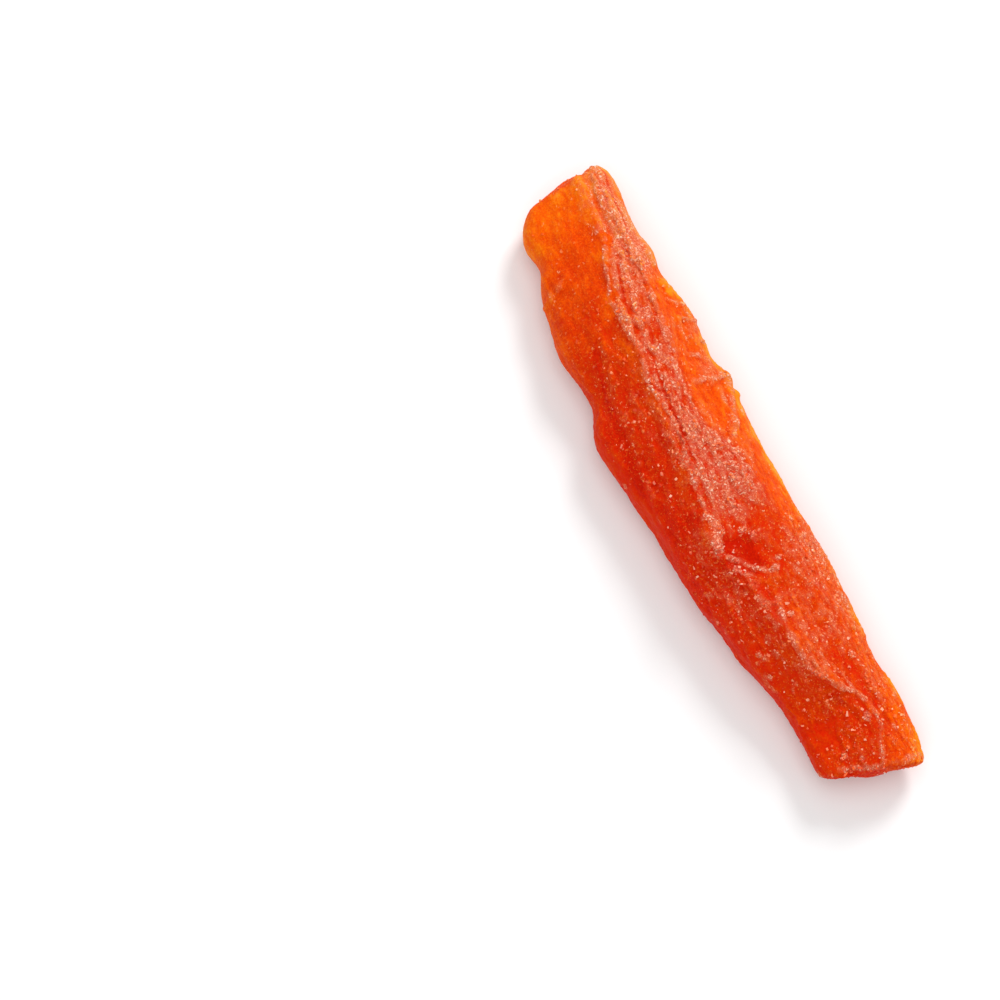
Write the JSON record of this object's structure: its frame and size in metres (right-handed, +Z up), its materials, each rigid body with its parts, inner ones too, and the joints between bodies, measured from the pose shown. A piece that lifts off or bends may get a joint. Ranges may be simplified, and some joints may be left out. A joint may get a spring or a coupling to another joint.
{
  "type": "dried papaya spear",
  "caption": "Candied, dried papaya spear: a long irregular wedge with a sharp upper ridge, a pale sugared crest, shrunken sides and a cut foot.",
  "frame": {"origin": "middle of the spear's bounding box, on the flat underside that it rests on", "axes": "+X from the slanted tip towards the cut foot, +Y towards the steep outer slope, +Z up"},
  "size_m": [0.1036, 0.0234, 0.013],
  "materials": {
    "candied_fruit": "waxy, slightly translucent fruit, dusted with sugar"
  },
  "bodies": {
    "root": {"papaya_spear": "candied_fruit"}
  },
  "joints": []
}
